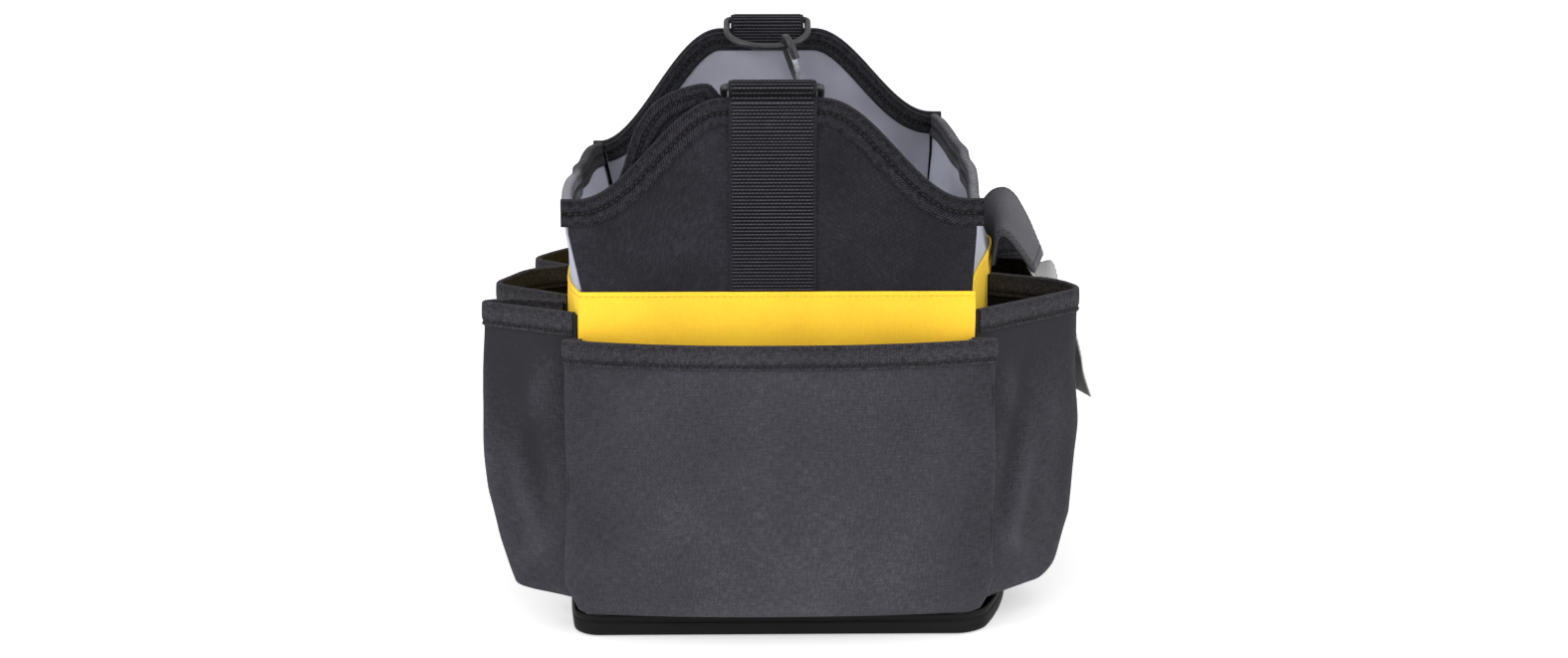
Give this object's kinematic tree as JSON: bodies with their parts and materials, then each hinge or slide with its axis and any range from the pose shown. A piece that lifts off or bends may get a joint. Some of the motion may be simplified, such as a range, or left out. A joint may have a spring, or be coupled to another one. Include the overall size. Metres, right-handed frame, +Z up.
{
  "type": "open tool bag",
  "caption": "Open-top cloth tool bag in a moulded base, raised ends with webbing straps and D-rings, a hook on a ring, open pockets all round and a yellow band.",
  "frame": {"origin": "middle of the underside of the base", "axes": "+Z up, -Y out of the near short end, +X to that end's right"},
  "size_m": [0.3792, 0.3768, 0.3359],
  "materials": {
    "moulded_base": "satin",
    "panel_cloth": "twill",
    "grey_cloth": "smooth",
    "binding_tape": "woven tape",
    "yellow_cloth": "smooth",
    "webbing": "ribbed",
    "coated_wire": "satin black",
    "bright_steel": "bright",
    "pocket_cloth": "twill",
    "pocket_tape": "woven tape",
    "grey_tab": "woven"
  },
  "bodies": {
    "bag": {"base_tray": "moulded_base", "near_end_panel": "panel_cloth", "far_end_panel": "panel_cloth", "near_end_lining": "grey_cloth", "far_end_lining": "grey_cloth", "left_side_panel": "grey_cloth", "right_side_panel": "grey_cloth", "near_edge_binding": "binding_tape", "far_edge_binding": "binding_tape", "near_lining_binding": "binding_tape", "far_lining_binding": "binding_tape", "left_edge_binding": "binding_tape", "right_edge_binding": "binding_tape", "yellow_band": "yellow_cloth", "near_strap": "webbing", "far_strap": "webbing", "near_end_pocket": "pocket_cloth", "far_end_pocket": "pocket_cloth", "left_pocket_near": "pocket_cloth", "left_pocket_middle": "pocket_cloth", "left_pocket_far": "pocket_cloth", "right_pocket_near": "pocket_cloth", "right_pocket_flap": "pocket_cloth", "right_pocket_far": "pocket_cloth", "right_flap": "pocket_cloth", "near_end_pocket_binding": "pocket_tape", "far_end_pocket_binding": "pocket_tape", "left_pocket_near_binding": "pocket_tape", "left_pocket_middle_binding": "pocket_tape", "left_pocket_far_binding": "pocket_tape", "right_pocket_near_binding": "pocket_tape", "right_pocket_flap_binding": "pocket_tape", "right_pocket_far_binding": "pocket_tape", "flap_tab": "grey_tab"},
    "near_ring": {"near_d_ring": "coated_wire"},
    "far_ring": {"far_d_ring": "coated_wire", "snap_hook": "coated_wire"},
    "gate": {"hook_gate": "bright_steel"}
  },
  "joints": [
    {"name": "near_ring_swing", "type": "hinge", "parent": "bag", "child": "near_ring", "pos_m": [0, -0.15645, 0.3256], "axis": [1, 0, 0], "range_deg": [0, 230]},
    {"name": "far_ring_swing", "type": "hinge", "parent": "bag", "child": "far_ring", "pos_m": [0, 0.15645, 0.3316], "axis": [-1, 0, 0], "range_deg": [0, 230]},
    {"name": "gate_hinge", "type": "hinge", "parent": "far_ring", "child": "gate", "pos_m": [0.02243, 0.13255, 0.29258], "axis": [-0.8919, -0.3173, -0.3223], "range_deg": [0, 15], "stiffness_Nm_per_rad": 0.02, "springref_deg": -5.73}
  ]
}
